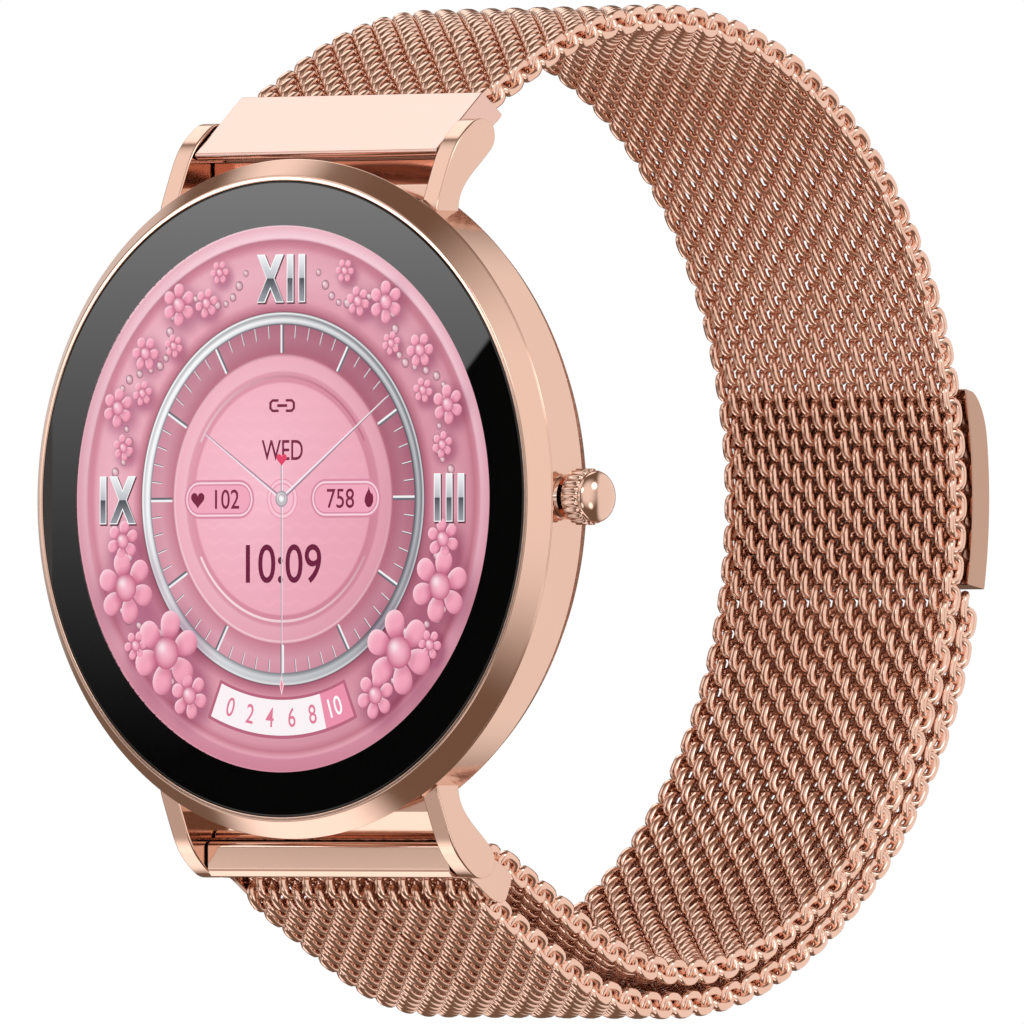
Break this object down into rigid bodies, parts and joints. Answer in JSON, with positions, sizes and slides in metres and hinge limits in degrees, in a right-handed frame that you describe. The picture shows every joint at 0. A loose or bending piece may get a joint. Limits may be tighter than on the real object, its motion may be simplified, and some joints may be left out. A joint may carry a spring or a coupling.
{
  "type": "round smartwatch",
  "caption": "Round wrist watch with a lit dial under glass, side crown, lugs and spring bars, and a woven wire band that folds through a buckle and closes with a magnetic plate.",
  "frame": {"origin": "middle of the flat skin face on the back of the case", "axes": "+X towards the crown, +Y from the dial to the wrist, +Z towards 12 o'clock"},
  "size_m": [0.0452, 0.0572, 0.0629],
  "materials": {
    "cover_glass": "polished mineral glass",
    "adhesive": "black foam adhesive",
    "polished_rose_gold": "polished steel plated rose gold",
    "rose_gold_wire": "woven steel wire plated rose gold",
    "seal_rubber": "black silicone rubber",
    "display": "lit display panel",
    "flex_film": "amber polyimide film",
    "dark_plastic": "moulded plastic",
    "circuit_board": "green solder mask",
    "bare_steel": "bare steel",
    "battery_pouch": "foil pouch",
    "sensor_light": "clear resin",
    "contact_gold": "gold plated brass",
    "magnet": "nickel plated magnet"
  },
  "bodies": {
    "case": {"cover_glass": "cover_glass", "glass_adhesive": "adhesive", "bezel_ring": "polished_rose_gold", "bezel_seal": "seal_rubber", "mid_case": "polished_rose_gold", "display_panel": "display", "display_flex": "flex_film", "display_frame": "dark_plastic", "main_board": "circuit_board", "shield_cans": "bare_steel", "board_sockets": "dark_plastic", "battery": "battery_pouch", "battery_pad": "adhesive", "vibration_motor": "bare_steel", "speaker": "dark_plastic", "microphone": "bare_steel", "back_cover": "dark_plastic", "back_seal": "seal_rubber", "back_screws": "bare_steel", "sensor_window": "cover_glass", "sensor_board": "circuit_board", "sensor_leds": "sensor_light", "sensor_flex": "flex_film", "charging_contacts": "contact_gold", "charging_magnets": "magnet", "crown_tube": "polished_rose_gold", "crown_seal": "seal_rubber", "crown_switch": "dark_plastic", "crown_spring": "bare_steel", "upper_spring_bar": "bare_steel", "lower_spring_bar": "bare_steel", "spring_bar_tips": "bare_steel", "spring_bar_springs": "bare_steel"},
    "crown_slider": {"crown_plunger": "dark_plastic"},
    "crown": {"crown_stem": "bare_steel", "crown_knob": "polished_rose_gold"},
    "upper_band": {"upper_end_link": "polished_rose_gold", "band_top": "rose_gold_wire"},
    "back_band": {"band_back": "rose_gold_wire"},
    "lower_band": {"buckle_frame": "polished_rose_gold", "buckle_bar": "polished_rose_gold", "band_lower": "rose_gold_wire", "band_fold": "rose_gold_wire", "band_return": "rose_gold_wire"},
    "tail_root": {"band_tail_root": "rose_gold_wire"},
    "tail_lower": {"band_tail_lower": "rose_gold_wire"},
    "tail_upper": {"band_tail_upper": "rose_gold_wire"},
    "clasp": {"band_tail_end": "rose_gold_wire", "clasp_shell": "polished_rose_gold", "clasp_liner": "bare_steel", "clasp_magnets": "magnet"}
  },
  "joints": [
    {"name": "crown_press", "type": "slide", "parent": "case", "child": "crown_slider", "axis": [-1, 0, 0], "range_m": [0, 0.0003], "stiffness_N_per_m": 600},
    {"name": "crown_turn", "type": "hinge", "parent": "crown_slider", "child": "crown", "pos_m": [0.02, -0.0055, 0], "axis": [1, 0, 0], "continuous": true},
    {"name": "band_sway", "type": "hinge", "parent": "case", "child": "upper_band", "pos_m": [0, -0.0026, 0.022], "axis": [1, 0, 0], "range_deg": [-10, 10]},
    {"name": "back_bend", "type": "hinge", "parent": "upper_band", "child": "back_band", "pos_m": [0, 0.0371, 0.0224], "axis": [1, 0, 0], "range_deg": [-10, 10]},
    {"name": "buckle_swing", "type": "hinge", "parent": "case", "child": "lower_band", "pos_m": [0, -0.0026, -0.022], "axis": [1, 0, 0], "range_deg": [-10, 10]},
    {"name": "tail_bend", "type": "hinge", "parent": "lower_band", "child": "tail_root", "pos_m": [0, 0.0371, -0.0216], "axis": [1, 0, 0], "range_deg": [-10, 10]},
    {"name": "clasp_peel", "type": "hinge", "parent": "tail_root", "child": "tail_lower", "pos_m": [0, 0.0425, -0.01813], "axis": [-1, 0, 0], "range_deg": [0, 20]},
    {"name": "clasp_peel_middle", "type": "hinge", "parent": "tail_lower", "child": "tail_upper", "pos_m": [0, 0.04518, -0.01356], "axis": [-1, 0, 0], "range_deg": [0, 20]},
    {"name": "clasp_peel_tip", "type": "hinge", "parent": "tail_upper", "child": "clasp", "pos_m": [0, 0.04707, -0.00861], "axis": [-1, 0, 0], "range_deg": [0, 20]}
  ],
  "couplings": [
    {"joint": "back_bend", "follows": "band_sway", "ratio": -1},
    {"joint": "buckle_swing", "follows": "band_sway", "ratio": 1},
    {"joint": "tail_bend", "follows": "band_sway", "ratio": -1},
    {"joint": "clasp_peel_middle", "follows": "clasp_peel", "ratio": 1},
    {"joint": "clasp_peel_tip", "follows": "clasp_peel", "ratio": 1}
  ]
}
